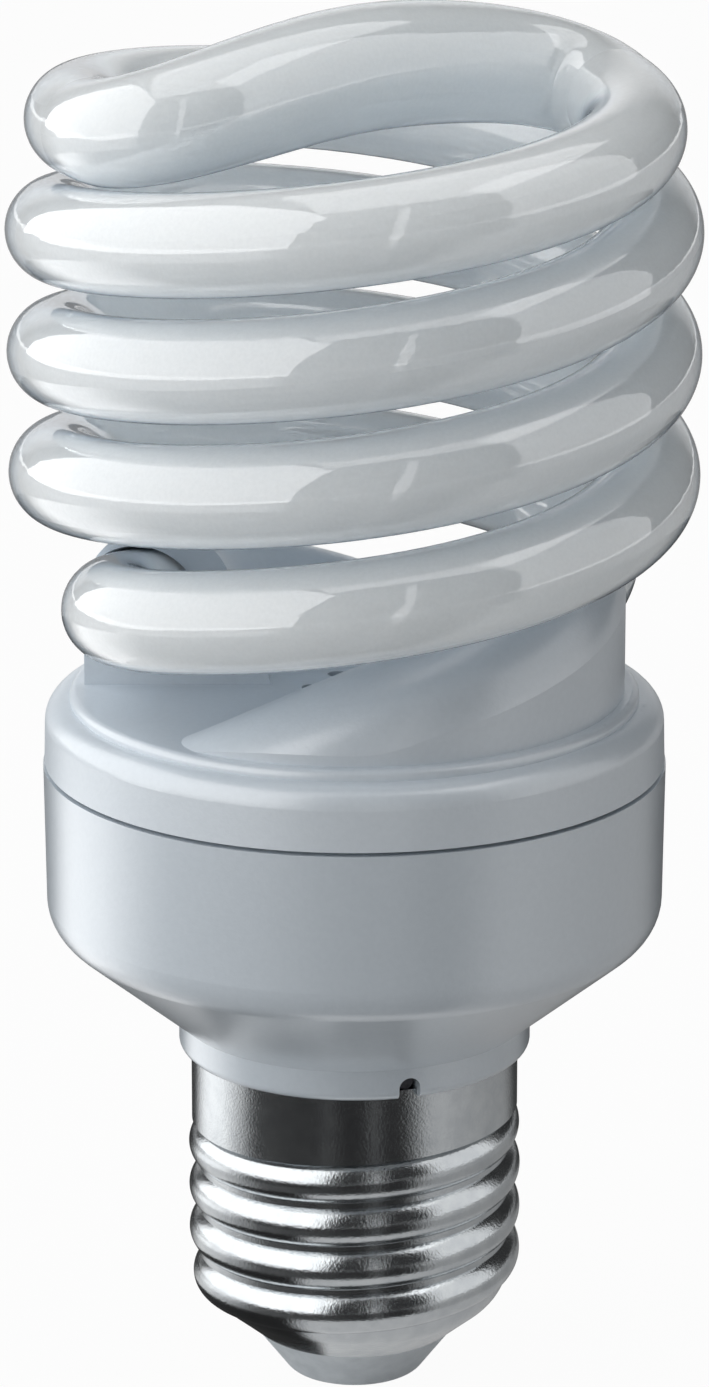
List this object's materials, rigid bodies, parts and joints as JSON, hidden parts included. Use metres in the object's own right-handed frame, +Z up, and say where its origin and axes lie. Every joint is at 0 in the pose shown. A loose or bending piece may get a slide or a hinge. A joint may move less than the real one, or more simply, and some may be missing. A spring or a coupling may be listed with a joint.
{
  "type": "spiral energy saving lamp",
  "caption": "Spiral energy saving lamp: a coated glass discharge tube wound as a double helix on a white ballast housing, with a metal screw cap below.",
  "frame": {"origin": "middle of the flat face of the cap's end contact, the lowest point of the lamp", "axes": "+Z up the lamp's axis from the cap to the spiral, -Y towards the viewer of the picture, +X to its right"},
  "size_m": [0.0532, 0.0532, 0.1108],
  "materials": {
    "tube_glass": "clear soda glass over an opaque white phosphor coating",
    "holder_plastic": "satin cool white moulding",
    "housing_plastic": "satin cool white moulding",
    "cap_metal": "nickel plated sheet with a fine grain",
    "cap_glass": "matte grey-white insulator",
    "contact_metal": "tinned contact",
    "board_laminate": "brown paper laminate",
    "ferrite": "dark grey ferrite",
    "bobbin_plastic": "black moulding",
    "copper_wire": "enamelled copper",
    "capacitor_sleeve": "dark shrink sleeve",
    "film_coating": "brown-red dipped coating",
    "moulding_black": "black epoxy",
    "resistor_coating": "pale lacquer",
    "tinned_wire": "tinned wire",
    "lead_sleeve": "dark sleeve"
  },
  "bodies": {
    "root": {"ballast_board": "board_laminate", "blocking_capacitor": "film_coating", "cap_insulator": "cap_glass", "centre_contact": "contact_metal", "choke_bobbin": "bobbin_plastic", "choke_core": "ferrite", "choke_winding": "copper_wire", "discharge_tube": "tube_glass", "drive_toroid": "ferrite", "fuse_resistor": "resistor_coating", "input_choke": "ferrite", "lead_wire_1": "tinned_wire", "lead_wire_2": "tinned_wire", "lead_wire_3": "tinned_wire", "lead_wire_4": "tinned_wire", "lower_housing": "housing_plastic", "rectifier_diode_1": "moulding_black", "rectifier_diode_2": "moulding_black", "rectifier_diode_3": "moulding_black", "rectifier_diode_4": "moulding_black", "resonant_capacitor": "film_coating", "screw_shell": "cap_metal", "smoothing_capacitor": "capacitor_sleeve", "start_diac": "resistor_coating", "supply_lead_centre": "lead_sleeve", "supply_lead_shell": "lead_sleeve", "switch_high": "moulding_black", "switch_low": "moulding_black", "terminal_pin_1": "tinned_wire", "terminal_pin_2": "tinned_wire", "terminal_pin_3": "tinned_wire", "terminal_pin_4": "tinned_wire", "toroid_winding_1": "copper_wire", "toroid_winding_2": "copper_wire", "toroid_winding_3": "copper_wire", "tube_holder": "holder_plastic"}
  },
  "joints": []
}
